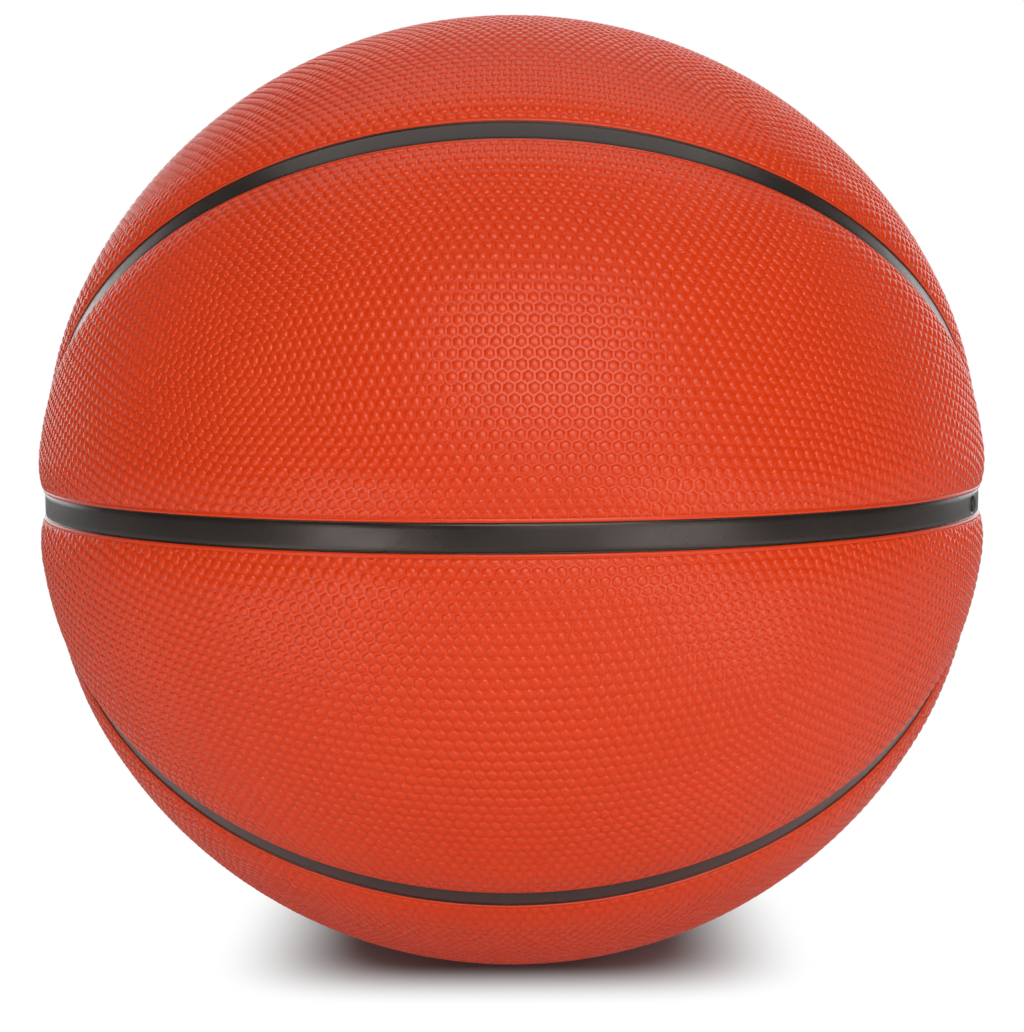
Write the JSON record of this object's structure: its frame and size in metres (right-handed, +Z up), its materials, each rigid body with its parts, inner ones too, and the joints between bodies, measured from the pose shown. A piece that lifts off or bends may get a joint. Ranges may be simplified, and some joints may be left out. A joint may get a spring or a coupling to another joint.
{
  "type": "basketball",
  "caption": "Round moulded ball with a pebbled orange cover in curved panels, black sunk channels between them and a needle valve in the middle channel.",
  "frame": {"origin": "centre of the ball", "axes": "+Z up, square to the middle channel, which lies in the XY plane; X runs through the two places where the upright channel crosses the middle one, between the loops' round ends, and the ball is the same on all sides of it; the camera looks along +Y"},
  "size_m": [0.2392, 0.24, 0.24],
  "materials": {
    "cover": "pebbled, satin",
    "seam": "satin",
    "carcass": "matte",
    "winding": "wound nylon thread",
    "bladder": "smooth, satin",
    "housing": "matte",
    "plug": "matte"
  },
  "bodies": {
    "root": {"cap_panel_front_top": "cover", "cap_panel_front_bottom": "cover", "cap_panel_back_top": "cover", "cap_panel_back_bottom": "cover", "waist_panel_front_top": "cover", "waist_panel_front_bottom": "cover", "waist_panel_back_top": "cover", "waist_panel_back_bottom": "cover", "seam_loop_front_top": "seam", "seam_loop_front_bottom": "seam", "seam_loop_back_top": "seam", "seam_loop_back_bottom": "seam", "seam_ring_middle": "seam", "seam_strip_over_top": "seam", "seam_strip_under_base": "seam", "carcass_shell": "carcass", "winding_layer": "winding", "bladder": "bladder", "valve_housing": "housing", "valve_plug": "plug"}
  },
  "joints": []
}
